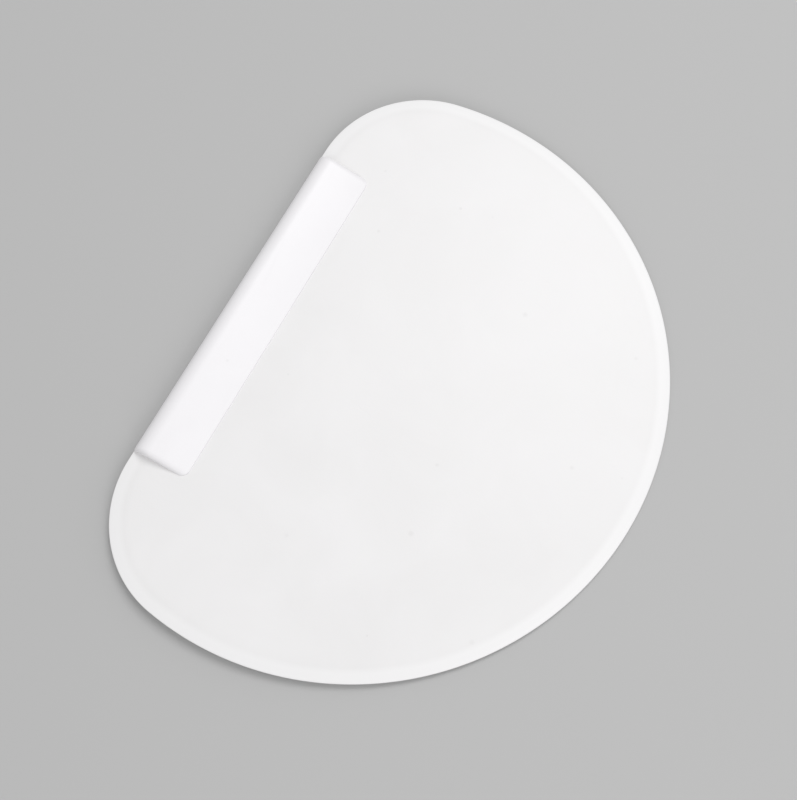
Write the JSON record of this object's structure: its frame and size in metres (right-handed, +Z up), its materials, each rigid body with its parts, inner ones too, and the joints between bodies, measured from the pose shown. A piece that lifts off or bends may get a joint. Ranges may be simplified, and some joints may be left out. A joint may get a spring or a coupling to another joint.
{
  "type": "dough scraper",
  "caption": "Half-round flexible plastic dough scraper: a thin D-shaped blade with a bevelled rim and a rigid wedge-shaped grip pinned over its straight edge.",
  "frame": {"origin": "on the bench under the middle of the scraper's box, with the scraper at rest on the heel of its grip and on the far end of its blade", "axes": "+X along the grip, +Y from the grip towards the curved scraping rim, +Z up from the bench; the blade slopes down by 1.7 degrees towards +Y"},
  "size_m": [0.14, 0.103, 0.007],
  "materials": {
    "blade_plastic": "satin, flexible and slightly translucent",
    "grip_plastic": "satin, rigid and opaque"
  },
  "bodies": {
    "root": {"blade": "blade_plastic", "grip_front": "grip_plastic", "grip_back": "grip_plastic"}
  },
  "joints": []
}
